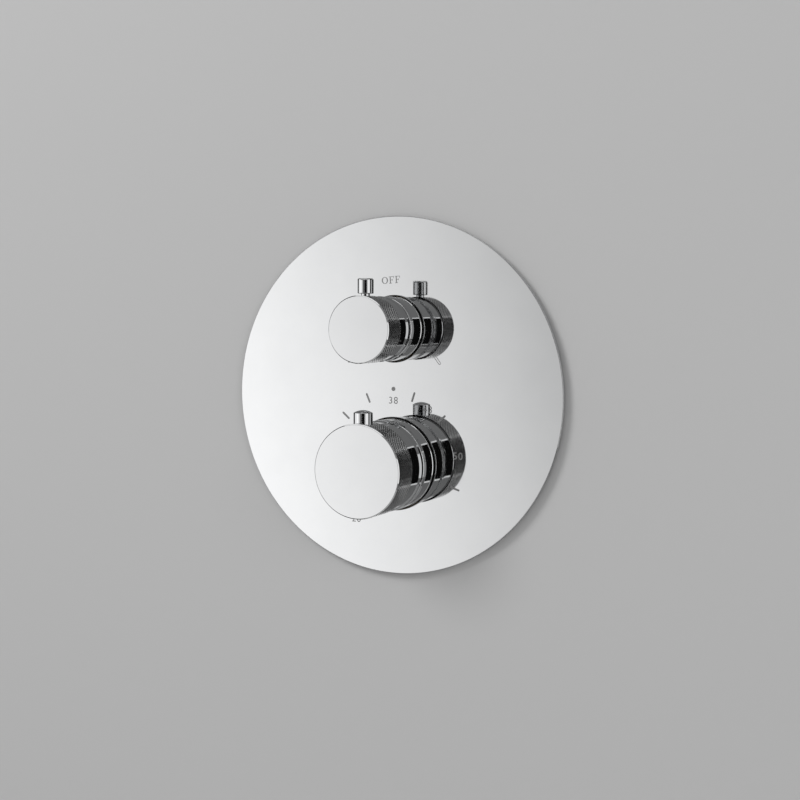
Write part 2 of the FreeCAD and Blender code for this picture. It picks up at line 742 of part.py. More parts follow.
def body_hollows():
    """Bores: cartridge seats, inlet and outlet threads, check-valve bores and mixed-water ways."""
    hollows = []
    for knob in KNOBS:
        rise = f"{knob}_rise"
        hollows.append(cylinder(f"{knob}_bore", f"{knob}_shell_bore", f"-{knob}_shell_depth",
                                f"{knob}_shell_depth", rise=rise))
        hollows.append(cylinder(f"{knob}_mouth", f"{knob}_boss_bore", "-seat_depth",
                                "seat_depth", rise=rise))
        for side, start in (("left", "-arm_reach - overcut"), ("right", "arm_reach - thread_length")):
            hollows.append(cylinder(f"{knob}_{side}_thread", "thread_radius", start,
                                    "thread_length + overcut", axis="side", out="-arm_depth", rise=rise))
    hollows.append(cylinder("outlet_way", "outlet_port_radius", "-arm_reach", "2 * arm_reach",
                            axis="side", out="-arm_depth", rise="diverter_rise"))
    hollows.append(cylinder("inlet_way", "port_radius", "-arm_reach", "2 * arm_reach",
                            axis="side", out="-arm_depth", rise="temperature_rise"))
    for side, start in (("left", "-arm_reach"), ("right", "check_start")):
        hollows.append(cylinder(f"{side}_check_bore", "check_radius + running_gap", start,
                                "arm_reach - check_start", axis="side", out="-arm_depth",
                                rise="temperature_rise"))
    hollows.append(cylinder("mixed_way", "port_radius", "temperature_rise",
                            "diverter_rise - (temperature_rise)", axis="up", out="-column_depth"))
    hollows.append(cylinder("upper_way", "port_radius", "-column_depth",
                            "column_depth - diverter_shell_depth + overcut", rise="diverter_rise"))
    return hollows


def screw_places():
    return [
        (f"{side} * {across}", rise)
        for side in (-1, 1)
        for across, rise in (("upper_screw_x", "upper_screw_rise"), ("lower_screw_x", "-lower_screw_drop"))
    ]


bulk = doc.addObject("Part::MultiFuse", "body_bulk")
bulk.Shapes = body_solids()
hollow = doc.addObject("Part::MultiFuse", "body_hollow")
hollow.Shapes = body_hollows() + [
    cylinder(f"screw_hole_{i}", "bracket_screw_radius + close_gap", "-body_depth - overcut",
             "bracket_screw_length + overcut", rise=rise, across=across)
    for i, (across, rise) in enumerate(screw_places())
]
valve_body = doc.addObject("Part::Cut", "valve_body")
valve_body.Label = "valve_body"
valve_body.Base = bulk
valve_body.Tool = hollow
nodes["valve_body"] = valve_body


# ---- inlets: filter and check valve on the hot and the cold side ----

for water, side in (("hot", -1), ("cold", 1)):
    where = {"axis": "side", "side": side, "out": "-arm_depth", "rise": "temperature_rise"}
    turned(f"{water}_check_housing", [
        ("check_guide_radius", "check_start"),
        ("check_radius", "check_start"),
        ("check_radius", "check_end"),
        ("check_lip_radius", "check_end"),
        ("check_lip_radius", "check_end - check_lip"),
        ("check_radius - check_wall", "check_end - check_lip"),
        ("check_radius - check_wall", "check_start + check_lip"),
        ("check_guide_radius", "check_start + check_lip"),
    ], **where)
    poppet_front = "check_end - check_lip - close_gap"
    turned(f"{water}_check_poppet", [
        ("0", "check_start"),
        ("poppet_stem_radius", "check_start"),
        ("poppet_stem_radius", f"{poppet_front} - poppet_thick"),
        ("poppet_radius", f"{poppet_front} - poppet_thick"),
        ("poppet_radius", poppet_front),
        ("0", poppet_front),
    ], **where)
    spring(f"{water}_check_spring", "check_coil_radius", "check_wire", "check_start + check_lip",
           f"{poppet_front} - poppet_thick", 4, **where)
    turned(f"{water}_filter", [
        ("0", "filter_start"),
        ("filter_nose_radius", "filter_start"),
        ("check_radius", "filter_end - filter_wall"),
        ("check_radius", "filter_end"),
        ("check_radius - filter_wall", "filter_end"),
        ("filter_nose_radius - filter_wall", "filter_start + filter_wall"),
        ("0", "filter_start + filter_wall"),
    ], **where)


# ---- bracket behind the body ----

bracket = new_body("mounting_bracket", out="-body_depth")
bracket_sketch = new_sketch(bracket, "outline", "XZ_Plane")
half_width = "bracket_width * 0.5"
half_height = "bracket_height * 0.5"
add_outline(bracket_sketch, [
    (f"-({half_width})", f"bracket_corner - {half_height}"),
    (f"bracket_corner - {half_width}", f"-({half_height})"),
    (f"{half_width} - bracket_corner", f"-({half_height})"),
    (half_width, f"bracket_corner - {half_height}"),
    (half_width, f"{half_height} - bracket_corner"),
    (f"{half_width} - bracket_corner", half_height),
    (f"bracket_corner - {half_width}", half_height),
    (f"-({half_width})", f"{half_height} - bracket_corner"),
])
for across in (-1, 1):
    for along in (-1, 1):
        add_circle(bracket_sketch, f"{across} * fixing_spacing_x * 0.5",
                   f"{along} * fixing_spacing_z * 0.5", "fixing_hole_radius")
for across, rise in screw_places():
    add_circle(bracket_sketch, across, rise, "bracket_screw_radius + running_gap")
bracket_pad = bracket.newObject("PartDesign::Pad", "mounting_bracket_pad")
bracket_pad.Profile = bracket_sketch
bracket_pad.Reversed = True
bracket_pad.setExpression("Length", bound("bracket_thick"))

screw_bits = []
for i, (across, rise) in enumerate(screw_places()):
    shank = cylinder(f"bracket_shank_{i}", "bracket_screw_radius", "bracket_back",
                     "bracket_thick + bracket_screw_length - running_gap", rise=rise, across=across)
    head = cylinder(f"bracket_head_{i}", "bracket_screw_head_radius",
                    "bracket_back - bracket_screw_head_thick", "bracket_screw_head_thick",
                    rise=rise, across=across)
    screw = doc.addObject("Part::Fuse", f"bracket_screw_{i}")
    screw.Base = head
    screw.Tool = shank
    screw_bits.append(screw)
bracket_screws = doc.addObject("Part::Compound", "bracket_screws")
bracket_screws.Label = "bracket_screws"
bracket_screws.Links = screw_bits
nodes["bracket_screws"] = bracket_screws

# ---- check and write ----

doc.recompute()
for item in doc.Objects:
    if "Invalid" in item.State or "Error" in item.State:
        raise RuntimeError(f"{item.Name} failed: {item.State}")
os.makedirs("parts", exist_ok=True)
for label, item in nodes.items():
    shape = item.Shape
    if shape.isNull() or not shape.isValid() or not shape.Solids:
        raise RuntimeError(f"{label} has no valid solid")
    shape.exportStep(os.path.join("parts", f"{label}.step"))
    print(f"{label}: {len(shape.Solids)} solid(s), {shape.Volume:.1f} cubic millimetres")
print(f"{len(nodes)} nodes written")
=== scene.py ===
import json
import math

import bmesh
import bpy
import numpy as np
from mathutils import Matrix, Vector


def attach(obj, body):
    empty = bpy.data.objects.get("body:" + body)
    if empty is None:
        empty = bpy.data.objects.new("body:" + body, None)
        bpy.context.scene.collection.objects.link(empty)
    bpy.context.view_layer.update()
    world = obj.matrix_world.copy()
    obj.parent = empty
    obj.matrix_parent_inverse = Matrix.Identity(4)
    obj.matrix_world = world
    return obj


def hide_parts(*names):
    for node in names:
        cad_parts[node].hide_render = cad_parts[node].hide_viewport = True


# Concealed shower valve: dresses the frame's solids in chrome, cast brass, steel, rubber and plastic.
# The pieces' sizes are millimetres, made metres by mm; finishes, studio and camera are in metres.
mm = 0.001
axisRise = dict(upper=37.5, lower=-38.0)  # the knobs' axes, up from the plate's middle

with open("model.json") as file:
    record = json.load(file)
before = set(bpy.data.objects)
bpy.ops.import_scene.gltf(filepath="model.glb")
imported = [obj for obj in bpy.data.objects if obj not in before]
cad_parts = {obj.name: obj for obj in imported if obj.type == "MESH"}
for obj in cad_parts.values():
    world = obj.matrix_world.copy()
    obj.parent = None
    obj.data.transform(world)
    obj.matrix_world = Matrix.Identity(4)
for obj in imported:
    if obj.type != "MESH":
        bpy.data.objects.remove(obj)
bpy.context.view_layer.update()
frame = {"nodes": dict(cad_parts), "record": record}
nodes = frame["nodes"]
slotOf = {part["node"]: part["material_slot"] for part in frame["record"]["subparts"]}
print("frame loaded:", len(nodes), "nodes")


# meshes from grids

def gridQuads(rows, columns, closedAcross=True, closedAlong=False):
    # four corners of every cell of a grid whose points are numbered row by row
    index = np.arange(rows * columns).reshape(rows, columns)
    lower = index if closedAlong else index[:-1]
    upper = np.roll(index, -1, axis=0) if closedAlong else index[1:]
    if closedAcross:
        quads = np.stack([lower, np.roll(lower, -1, axis=1), np.roll(upper, -1, axis=1), upper], axis=-1)
    else:
        quads = np.stack([lower[:, :-1], lower[:, 1:], upper[:, 1:], upper[:, :-1]], axis=-1)
    return quads.reshape(-1, 4)


def gridMesh(name, points, closedAcross=True, closedAlong=False):
    # points[i, j] is a grid in millimetres: i runs along a profile, j runs round it
    quads = gridQuads(*points.shape[:2], closedAcross, closedAlong)
    return weldedMesh(name, points.reshape(-1, 3), quads)


def weldedMesh(name, points, quads):
    # a mesh from points in millimetres and the faces between them, cleaned up
    mesh = bpy.data.meshes.new(name)
    mesh.from_pydata((points * mm).tolist(), [], quads.tolist())
    outwards(mesh)
    return mesh


def outwards(mesh):
    # merges points that fall together, such as poles and seams, and turns the faces outwards
    work = bmesh.new()
    work.from_mesh(mesh)
    bmesh.ops.remove_doubles(work, verts=work.verts, dist=1e-7)
    bmesh.ops.dissolve_degenerate(work, edges=work.edges, dist=1e-8)
    bmesh.ops.recalc_face_normals(work, faces=work.faces)
    work.to_mesh(mesh)
    work.free()
    mesh.polygons.foreach_set("use_smooth", np.ones(len(mesh.polygons), dtype=bool))
    mesh.update()


def addPiece(name, mesh, body, material, stands=()):
    # a visible piece that rides a body and stands for the named solids
    piece = bpy.data.objects.new(name, mesh)
    bpy.context.scene.collection.objects.link(piece)
    piece.data.materials.append(material)
    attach(piece, body)
    if stands:
        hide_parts(*stands)
    return piece


# an arc takes at most sideShare of a side, and a guard point needs guardRoom times guard of room
cornerRules = dict(straight=-0.9999, sideShare=0.45, guard=0.12, guardRoom=2.5)


def roundedProfile(corners, arcSteps=4):
    # corners are (radius, along, rounding); each corner becomes an arc of that rounding, tangent to
    # both sides, with one more point a little way along each side so that flat faces shade flat;
    # a corner on a straight line is left out
    share, guard = cornerRules["sideShare"], cornerRules["guard"]
    room = cornerRules["guardRoom"] * guard
    corners = [np.array(corner, dtype=float) for corner in corners]
    profile = [corners[0][:2]]
    for before, corner, after in zip(corners[:-2], corners[1:-1], corners[2:]):
        here, rounding = corner[:2], corner[2]
        back, ahead = before[:2] - here, after[:2] - here
        backLength, aheadLength = np.linalg.norm(back), np.linalg.norm(ahead)
        back, ahead = back / backLength, ahead / aheadLength
        if float(back @ ahead) < cornerRules["straight"]:
            continue
        half = math.acos(min(1.0, float(back @ ahead))) / 2
        reach = min(rounding / math.tan(half), share * backLength, share * aheadLength)
        radius = reach * math.tan(half)
        centre = here + (back + ahead) / np.linalg.norm(back + ahead) * radius / math.sin(half)
        start, end = here + back * reach, here + ahead * reach
        if backLength - reach > room:
            profile.append(start + back * guard)
        firstAngle = math.atan2(*(start - centre)[::-1])
        turn = math.atan2(*(end - centre)[::-1]) - firstAngle
        turn = (turn + math.pi) % (2 * math.pi) - math.pi
        for step in range(arcSteps + 1):
            angle = firstAngle + turn * step / arcSteps
            profile.append(centre + radius * np.array([math.cos(angle), math.sin(angle)]))
        if aheadLength - reach > room:
            profile.append(end + ahead * guard)
    profile.append(corners[-1][:2])
    return np.array(profile)


def turnedMesh(name, profile, axis, rise, out=0.0, columns=240, closed=False):
    # surface of revolution: the profile's radius and place along the axis, turned through a circle;
    # axis "out" points from the wall to the user, axis "up" points up
    angle = np.arange(columns) * 2 * math.pi / columns
    radius, along = profile[:, :1], profile[:, 1:]
    across, other = radius * np.cos(angle), radius * np.sin(angle)
    along = np.broadcast_to(along, across.shape)
    if axis == "out":
        points = np.stack([across, -along, other + rise], axis=-1)
    else:
        points = np.stack([across, other - out, along + rise], axis=-1)
    return gridMesh(name, points, closedAlong=closed)


# shader helpers

class Wire:
    # a socket that does arithmetic, each operation adding one Math node
    def __init__(self, tree, socket):
        self.tree = tree
        self.socket = socket

    def math(self, operation, first, second=None):
        step = self.tree.nodes.new("ShaderNodeMath")
        step.operation = operation
        for place, value in enumerate((first, second)):
            if isinstance(value, Wire):
                self.tree.links.new(value.socket, step.inputs[place])
            elif value is not None:
                step.inputs[place].default_value = value
        return Wire(self.tree, step.outputs[0])

    def __add__(self, other):
        return self.math("ADD", self, other)

    def __radd__(self, other):
        return self.math("ADD", other, self)

    def __sub__(self, other):
        return self.math("SUBTRACT", self, other)

    def __rsub__(self, other):
        return self.math("SUBTRACT", other, self)

    def __mul__(self, other):
        return self.math("MULTIPLY", self, other)

    def __rmul__(self, other):
        return self.math("MULTIPLY", other, self)

    def __truediv__(self, other):
        return self.math("DIVIDE", self, other)

    def above(self, edge):
        return self.math("GREATER_THAN", self, edge)

    def below(self, edge):
        return self.math("LESS_THAN", self, edge)

    def apart(self):
        return self.math("ABSOLUTE", self)


class Finish:
    # one material: constants go straight on the shader, what varies is wired in
    def __init__(self, name, **constants):
        self.material = bpy.data.materials.new(name)
        self.material.use_nodes = True
        self.tree = self.material.node_tree
        self.shader = self.tree.nodes["Principled BSDF"]
        for socket, value in constants.items():
            self.shader.inputs[socket].default_value = value

    def node(self, kind, inputs=None, output=0, **settings):
        step = self.tree.nodes.new(kind)
        for key, value in settings.items():
            setattr(step, key, value)
        for key, value in (inputs or {}).items():
            self.feed(step.inputs[key], value)
        return Wire(self.tree, step.outputs[output])

    def feed(self, socket, value):
        if isinstance(value, Wire):
            self.tree.links.new(value.socket, socket)
        else:
            socket.default_value = value

    def place(self, stretch=(1, 1, 1)):
        spot = self.node("ShaderNodeTexCoord", output="Object")
        return self.node("ShaderNodeMapping", {"Vector": spot, "Scale": stretch})

    def axes(self):
        spot = self.node("ShaderNodeTexCoord", output="Object")
        split = self.tree.nodes.new("ShaderNodeSeparateXYZ")
        self.feed(split.inputs[0], spot)
        return [Wire(self.tree, split.outputs[i]) for i in range(3)]

    def noise(self, scale, detail=3.0, roughness=0.5, stretch=(1, 1, 1)):
        return self.node("ShaderNodeTexNoise", {"Vector": self.place(stretch), "Scale": scale,
                                                "Detail": detail, "Roughness": roughness}, output="Fac")

    def steps(self, factor, *stops):
        # colour ramp between (place, grey) stops
        ramp = self.tree.nodes.new("ShaderNodeValToRGB")
        band = ramp.color_ramp
        while len(band.elements) < len(stops):
            band.elements.new(0.5)
        for element, (spot, grey) in zip(band.elements, stops):
            element.position = spot
            element.color = (grey, grey, grey, 1)
        self.feed(ramp.inputs[0], factor)
        return Wire(self.tree, ramp.outputs[0])

    def tint(self, factor, first, second):
        mix = self.tree.nodes.new("ShaderNodeMix")
        mix.data_type = "RGBA"
        self.feed(mix.inputs[0], factor)
        self.feed(mix.inputs[6], first)
        self.feed(mix.inputs[7], second)
        return Wire(self.tree, mix.outputs[2])

    def bump(self, height, depth, strength=1.0):
        relief = self.node("ShaderNodeBump", {"Height": height, "Distance": depth, "Strength": strength})
        self.feed(self.shader.inputs["Normal"], relief)

    def wire(self, **varying):
        for key, value in varying.items():
            self.feed(self.shader.inputs[key.replace("_", " ")], value)
        return self.material


def grey(level, warm=0.0):
    # a neutral colour, redder with a positive warm and bluer with a negative one
    return (level * (1 + warm), level, level * (1 - warm), 1)


# finishes

chromeLook = dict(light=0.65, dark=0.60, polish=0.022, smudge=0.05, smudgeScale=38.0,
                  hairScale=900.0, hairStretch=(1, 0.05, 1), hairRelief=0.000002, hairBlur=0.012)


def polishedChrome(name, look=chromeLook):
    # mirror polish under a faint cloudy smudge and hair-fine polishing lines
    finish = Finish(name, Metallic=1.0)
    cloud = finish.noise(look["smudgeScale"], detail=4.0, roughness=0.6)
    hair = finish.noise(look["hairScale"], detail=2.0, stretch=look["hairStretch"])
    smear = finish.steps(cloud, (0.50, 0.0), (0.78, 1.0))
    finish.bump(hair, look["hairRelief"], strength=0.25)
    return finish.wire(
        Base_Color=finish.tint(cloud, grey(look["light"], -0.006), grey(look["dark"], -0.008)),
        Roughness=look["polish"] + smear * look["smudge"] + hair * look["hairBlur"],
    )


brassLook = dict(light=(0.80, 0.60, 0.30, 1), dark=(0.52, 0.36, 0.16, 1), tarnish=28.0, grain=520.0,
                 pits=1500.0, relief=0.00022, armBack=0.045, armRises=(-0.038, 0.0375),
                 threadPitch=0.001814, threadStart=0.047, threadRadius=0.0098, threadDepth=5.0)


def castBrass(name, look=brassLook):
    # sand-cast skin: broad tarnish, fine grain and pits, with the pipe threads as rings in the mouths
    finish = Finish(name, Metallic=1.0)
    tarnish = finish.noise(look["tarnish"], detail=5.0, roughness=0.6)
    grain = finish.noise(look["grain"], detail=4.0, roughness=0.65)
    pits = finish.noise(look["pits"], detail=2.0)
    x, y, z = finish.axes()
    reach = x.apart()
    turns = reach / look["threadPitch"]
    wave = (turns.math("FRACT", turns) - 0.5).apart()
    back = y - look["armBack"]
    heights = [z - rise for rise in look["armRises"]]
    nearLower, nearUpper = [(back * back + height * height).below(look["threadRadius"] ** 2)
                            for height in heights]
    inThread = reach.above(look["threadStart"]) * (nearLower + nearUpper)
    finish.bump(grain * 0.5 + pits * 0.35 + wave * inThread * look["threadDepth"], look["relief"],
                strength=0.55)
    return finish.wire(
        Base_Color=finish.tint(tarnish * 0.7 + grain * 0.3, look["light"], look["dark"]),
        Roughness=0.30 + grain * 0.28 - inThread * 0.12,
    )


def turnedMetal(name, light, dark, roughness, ringScale=1400.0, wear=0.3):
    # turned metal: fine rings square to the wall axis over a slow tarnish
    finish = Finish(name, Metallic=1.0)
    rings = finish.noise(ringScale, detail=2.0, stretch=(0.04, 1, 0.04))
    cloud = finish.noise(60.0, detail=4.0, roughness=0.6)
    finish.bump(rings, 0.00003, strength=0.4)
    return finish.wire(
        Base_Color=finish.tint(cloud * wear + rings * 0.4, light, dark),
        Roughness=roughness + rings * 0.16 + cloud * 0.06,
    )


def platedSteel(name):
    # zinc plate on sheet: soft spangle and rolling streaks along the sheet
    finish = Finish(name, Metallic=1.0)
    spangle = finish.node("ShaderNodeTexVoronoi", {"Vector": finish.place(), "Scale": 260.0}, output="Color")
    streak = finish.noise(700.0, roughness=0.6, stretch=(1, 1, 0.03))
    cloud = finish.noise(24.0, detail=5.0, roughness=0.6)
    finish.bump(streak * 0.6 + cloud * 0.2, 0.00005, strength=0.4)
    return finish.wire(
        Base_Color=finish.tint(cloud * 0.6 + streak * 0.4, (0.66, 0.67, 0.69, 1), (0.44, 0.45, 0.48, 1)),
        Roughness=0.26 + spangle * 0.10 + streak * 0.14,
    )


def softRubber(name, shade, cells, depth, roughness):
    # dark rubber or foam: small cells in relief under a pale bloom
    finish = Finish(name)
    bloom = finish.noise(90.0, detail=4.0, roughness=0.6)
    foam = finish.node("ShaderNodeTexVoronoi", {"Vector": finish.place(), "Scale": cells}, output="Distance")
    finish.bump(foam, depth, strength=0.6)
    return finish.wire(
        Base_Color=finish.tint(bloom * 0.7 + foam * 0.3, grey(shade), grey(shade * 2.4)),
        Roughness=roughness + bloom * 0.18,
    )


def mouldedPlastic(name, light, dark, roughness=0.38):
    # slow flow clouds under the fine grain of a spark-cut mould
    finish = Finish(name)
    flow = finish.noise(70.0)
    grain = finish.noise(2600.0, detail=2.0, roughness=0.6)
    finish.bump(grain, 0.00003, strength=0.5)
    return finish.wire(Base_Color=finish.tint(flow, light, dark), Roughness=roughness + grain * 0.15)


def lappedCeramic(name):
    # off-white alumina lapped nearly to a gloss
    finish = Finish(name, **{"Coat Roughness": 0.05})
    speck = finish.noise(3200.0, detail=2.0)
    cloud = finish.noise(120.0)
    finish.bump(speck, 0.00001, strength=0.3)
    return finish.wire(Base_Color=finish.tint(cloud * 0.5 + speck * 0.5, (0.93, 0.92, 0.88, 1),
                                              (0.84, 0.83, 0.79, 1)),
                       Roughness=0.10 + speck * 0.08, Coat_Weight=0.2 + cloud * 0.2)


def etchedMark(name):
    # the matt grey of marks etched in chrome
    finish = Finish(name, Metallic=0.35)
    frost = finish.noise(2400.0, roughness=0.6)
    finish.bump(frost, 0.00002, strength=0.5)
    return finish.wire(Base_Color=finish.tint(frost, grey(0.24), grey(0.34)), Roughness=0.48 + frost * 0.2)


chrome = polishedChrome("polishedChrome")
markGrey = etchedMark("etchedMark")
slotFinish = {
    "chrome": chrome,
    "brass": turnedMetal("turnedBrass", (0.80, 0.60, 0.30, 1), (0.58, 0.41, 0.18, 1), 0.20),
    "steel": platedSteel("platedSteel"),
    "spring_steel": turnedMetal("springWire", grey(0.62, -0.02), grey(0.40), 0.24, 2600.0),
    "rubber": softRubber("sealRubber", 0.012, 2200.0, 0.00002, 0.50),
    "foam": softRubber("gasketFoam", 0.030, 900.0, 0.00020, 0.78),
    "shell_plastic": mouldedPlastic("darkPlastic", (0.055, 0.060, 0.068, 1), (0.085, 0.090, 0.10, 1)),
    "white_plastic": mouldedPlastic("whitePlastic", (0.84, 0.84, 0.82, 1), (0.76, 0.76, 0.73, 1)),
    "ceramic": lappedCeramic("lappedCeramic"),
    "wax_copper": turnedMetal("drawnCopper", (0.86, 0.52, 0.36, 1), (0.58, 0.30, 0.18, 1), 0.24, 900.0),
}
castSkin = castBrass("castBrass")
for name, node in nodes.items():
    node.data.materials.clear()
    node.data.materials.append(castSkin if name == "valve_body" else slotFinish[slotOf[name]])
print("finishes made:", len(bpy.data.materials))


# wall plate

plate = dict(radius=100.0, back=1.5, front=4.5, edge=0.8, backEdge=0.3, holeEdge=0.3,
             upperHole=18.6, lowerHole=26.1, rimSteps=180, lineSteps=80)
# the faces' rows of points, as shares of the way from the border to a hole
plateRows = np.concatenate([[0, 0.004], np.linspace(0.08, 0.92, 10), [0.994]])


def holePath(edge, front, back):
    # a quarter circle at each end of the hole's wall, from the front face to the back, as
    # (step out from the hole's radius, place along the axis)
    bend = np.linspace(0, math.pi / 2, 5)
    frontArc = np.stack([edge * (1 - np.sin(bend)), front - edge * (1 - np.cos(bend))], axis=-1)
    backArc = np.stack([edge * (1 - np.cos(bend)), back + edge * (1 - np.sin(bend))], axis=-1)
    return np.concatenate([frontArc, backArc])


def plateHalf(side, rise, hole):
    # half a disc with a hole: every column runs from the half's border straight to the hole's centre
    # on the front face, through the hole's wall, and back to the border on the back face
    reach = plate["radius"] - plate["edge"]
    line = np.linspace(-reach, reach, plate["lineSteps"] + 1)[:-1]
    arc = np.linspace(0, math.pi, plate["rimSteps"] + 1)[:-1]
    border = np.concatenate([
        np.stack([line, np.zeros_like(line)], axis=-1),
        np.stack([reach * np.cos(arc), side * reach * np.sin(arc)], axis=-1),
    ])
    centre = np.array([0.0, rise])
    ray = border - centre
    length = np.linalg.norm(ray, axis=1, keepdims=True)
    ray = ray / length
    inner = hole + plate["holeEdge"]
    rows = [(length + (inner - length) * share, plate["front"]) for share in plateRows]
    for step, out in holePath(plate["holeEdge"], plate["front"], plate["back"]):
        rows.append((np.full_like(length, hole + step), out))
    rows += [(length + (inner - length) * share, plate["back"]) for share in plateRows[::-1]]
    flat = [centre + ray * reached for reached, _ in rows]
    return np.stack([np.stack([spot[:, 0], np.full(len(spot), -out), spot[:, 1]], axis=-1)
                     for spot, (_, out) in zip(flat, rows)])


def plateMesh():
    # the two halves, and the rim as a rounded profile turned through a circle, welded into one
    halves = [plateHalf(1, axisRise["upper"], plate["upperHole"]),
              plateHalf(-1, axisRise["lower"], plate["lowerHole"])]
    reach = plate["radius"] - plate["edge"]
    rim = roundedProfile([
        (reach, plate["front"], 0), (plate["radius"], plate["front"], plate["edge"]),
        (plate["radius"], plate["back"], plate["backEdge"]), (reach, plate["back"], 0),
    ], 6)
    angle = np.arange(2 * plate["rimSteps"]) * math.pi / plate["rimSteps"]
    across, rise = rim[:, :1] * np.cos(angle), rim[:, :1] * np.sin(angle)
    ring = np.stack([across, np.broadcast_to(-rim[:, 1:], across.shape), rise], axis=-1)
    allPoints, allQuads, count = [], [], 0
    for points in halves + [ring]:
        rows, columns, _ = points.shape
        allPoints.append(points.reshape(-1, 3))
        allQuads.append(gridQuads(rows, columns) + count)
        count += rows * columns
    return weldedMesh("wallPlate", np.concatenate(allPoints), np.concatenate(allQuads))


addPiece("wallPlate", plateMesh(), "root", chrome, stands=["face_plate"])
print("wall plate made")


# fixed sleeves

groove = dict(place=6.6, depth=0.28, halfMouth=0.45, halfFloor=0.2)
upperSleeve = dict(piece="upperSleeve", node="diverter_sleeve", rise=axisRise["upper"],
                   radius=17.9, wall=1.8, tail=-9.0, front=18.5, taper=2.4, drop=0.5, tailSeam=0.5)
lowerSleeve = dict(piece="lowerSleeve", node="temperature_sleeve", rise=axisRise["lower"],
                   radius=25.4, wall=1.8, tail=-9.0, front=17.5, taper=2.4, drop=0.5, tailSeam=0.5)


def sleeveMesh(look):
    # closed outline of the tube's wall, from a point on its tail face round to the same point
    radius, front = look["radius"], look["front"]
    bore, floor, middle = radius - look["wall"], radius - groove["depth"], groove["place"]
    seam = (bore + look["tailSeam"], look["tail"], 0)
    corners = [
        seam, (radius, look["tail"], 0.3),
        (radius, middle - groove["halfMouth"], 0.12), (floor, middle - groove["halfFloor"], 0.1),
        (floor, middle + groove["halfFloor"], 0.1), (radius, middle + groove["halfMouth"], 0.12),
        (radius, front - look["taper"], 0.4), (radius - look["drop"], front, 0.6),
        (bore, front, 0.2), (bore, look["tail"], 0.3), seam,
    ]
    return turnedMesh(look["piece"], roundedProfile(corners), "out", look["rise"])


for look in (upperSleeve, lowerSleeve):
    addPiece(look["piece"], sleeveMesh(look), "root", chrome, stands=[look["node"]])
print("sleeves made")


# knobs

upperKnob = dict(
    piece="upperKnob", node="diverter_handle", body="diverter", rise=axisRise["upper"],
    face=47.2, head=18.1, headLength=14.7, faceEdge=0.5, knurlDepth=0.15, knurlCount=82, knurlPitch=2.4,
    outside=[(17.05, 19.1), (17.05, 21.3), (17.9, 21.4), (17.9, 22.8), (17.35, 24.5), (17.4, 31.9),
             (17.6, 32.5)],
    cavity=12.5, hub=8.2, hubBack=30.9, socket=5.6, socketFront=40.9, cavityFront=42.9, steps=[],
    bores=[(2.03, -19.5, -5.0, 37.4)],
)
lowerKnob = dict(
    piece="lowerKnob", node="temperature_handle", body="temperature", rise=axisRise["lower"],
    face=49.0, head=25.5, headLength=16.5, faceEdge=0.5, knurlDepth=0.15, knurlCount=115, knurlPitch=2.4,
    outside=[(24.5, 18.1), (24.5, 18.9), (25.3, 19.0), (25.3, 20.6), (24.7, 22.4), (24.8, 31.9),
             (25.0, 32.5)],
    cavity=13.0, hub=8.5, hubBack=32.7, socket=6.0, socketFront=42.7, cavityFront=44.7,
    steps=[(13.0, 32.5), (21.2, 32.5)],
    bores=[(2.03, -27.0, -5.5, 39.2), (5.35, 15.0, 27.0, 41.2), (1.6, 12.0, 16.0, 41.2)],
)
boring = dict(columns=64, sharpAngle=24)
# the core under the knurl, measured in from the grooves and from the head's two ends, and the band's back
knobCore = dict(below=0.15, back=0.6, front=1.0, band=0.9)


def bored(mesh, look):
    # the mesh less one upright round bore for each (radius, low, high, out), heights from the knob's axis
    stock = bpy.data.objects.new("stock", mesh)
    bpy.context.scene.collection.objects.link(stock)
    drills = []
    for radius, low, high, out in look["bores"]:
        corners = np.array([(0, low), (radius, low), (radius, high), (0, high)])
        drillMesh = turnedMesh("drill", corners, "up", look["rise"], out, boring["columns"])
        drill = bpy.data.objects.new("drill", drillMesh)
        bpy.context.scene.collection.objects.link(drill)
        cut = stock.modifiers.new("bore", "BOOLEAN")
        cut.operation, cut.solver, cut.object = "DIFFERENCE", "MANIFOLD", drill
        drills.append(drill)
    cutMesh = bpy.data.meshes.new_from_object(stock.evaluated_get(bpy.context.evaluated_depsgraph_get()))
    for item in [stock] + drills:
        bpy.data.objects.remove(item)
    cutMesh.name = mesh.name
    cutMesh.materials.clear()
    cutMesh.polygons.foreach_set("material_index", np.zeros(len(cutMesh.polygons), dtype=np.int32))
    cutMesh.set_sharp_from_angle(angle=math.radians(boring["sharpAngle"]))
    return cutMesh


def knobMesh(look):
    # the knob without its knurl: neck, collar, barrel, a core under the knurl, face, then the inside
    face, head = look["face"], look["head"]
    core = head - look["knurlDepth"] - knobCore["below"]
    skin = [(radius, along, 0.15) for radius, along in look["outside"]]
    skin += [(core, face - look["headLength"] + knobCore["back"], 0.1), (core, face - knobCore["front"], 0.1),
             (head, face - knobCore["band"], 0.08), (head, face - look["faceEdge"], 0.15),
             (head - look["faceEdge"], face, 0.2), (0, face, 0)]
    inside = [
        (look["socket"], look["socketFront"], 0.2), (look["socket"], look["hubBack"], 0.2),
        (look["hub"], look["hubBack"], 0.3), (look["hub"], look["cavityFront"], 0.4),
        (look["cavity"], look["cavityFront"], 0.4),
    ] + [(radius, along, 0.3) for radius, along in look["steps"]]
    mouth = look["steps"][-1][0] if look["steps"] else look["cavity"]
    back = look["outside"][0]
    outer = [((mouth + back[0]) / 2, back[1], 0), (back[0], back[1], 0.25)] + skin[1:]
    inner = [(0, look["socketFront"], 0)] + inside + [(mouth, back[1], 0.25),
                                                      ((mouth + back[0]) / 2, back[1], 0)]
    profile = np.concatenate([roundedProfile(outer), roundedProfile(inner)])
    return bored(turnedMesh(look["piece"], profile, "out", look["rise"]), look)


knurl = dict(samples=5, frontGap=0.85, backLap=0.1, fade=0.3, edgeDrop=0.06, wall=0.35)


